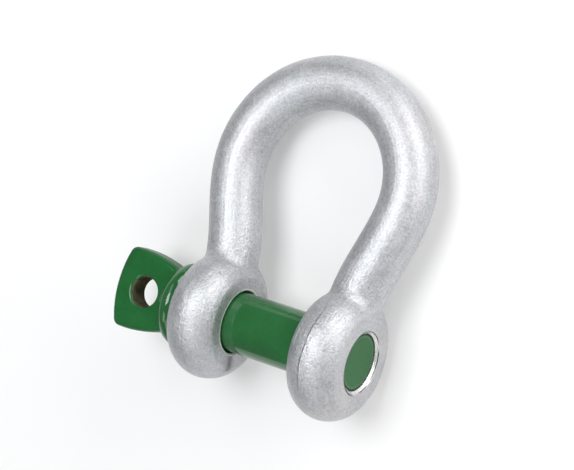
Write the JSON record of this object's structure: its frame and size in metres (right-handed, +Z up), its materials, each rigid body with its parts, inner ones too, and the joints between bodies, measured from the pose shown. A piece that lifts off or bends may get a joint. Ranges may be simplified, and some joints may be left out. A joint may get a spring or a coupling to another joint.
{
  "type": "bow shackle",
  "caption": "Forged bow shackle with a round eye on each leg and a screw pin across the jaw, with a collar and a flat holed head.",
  "frame": {"origin": "on the pin's axis, midway between the two eyes", "axes": "+X along the pin towards its threaded end, +Y towards the crown, in the floor's plane, +Z up from the floor that the shackle lies on"},
  "size_m": [0.1286, 0.1392, 0.0524],
  "materials": {
    "galvanised_steel": "satin hot-dip galvanised",
    "green_paint": "gloss"
  },
  "bodies": {
    "bow": {"bow": "galvanised_steel"},
    "pin": {"pin": "green_paint"}
  },
  "joints": [
    {"name": "pin_withdraw", "type": "slide", "parent": "bow", "child": "pin", "axis": [-1, 0, 0], "range_m": [0, 0.09]}
  ]
}
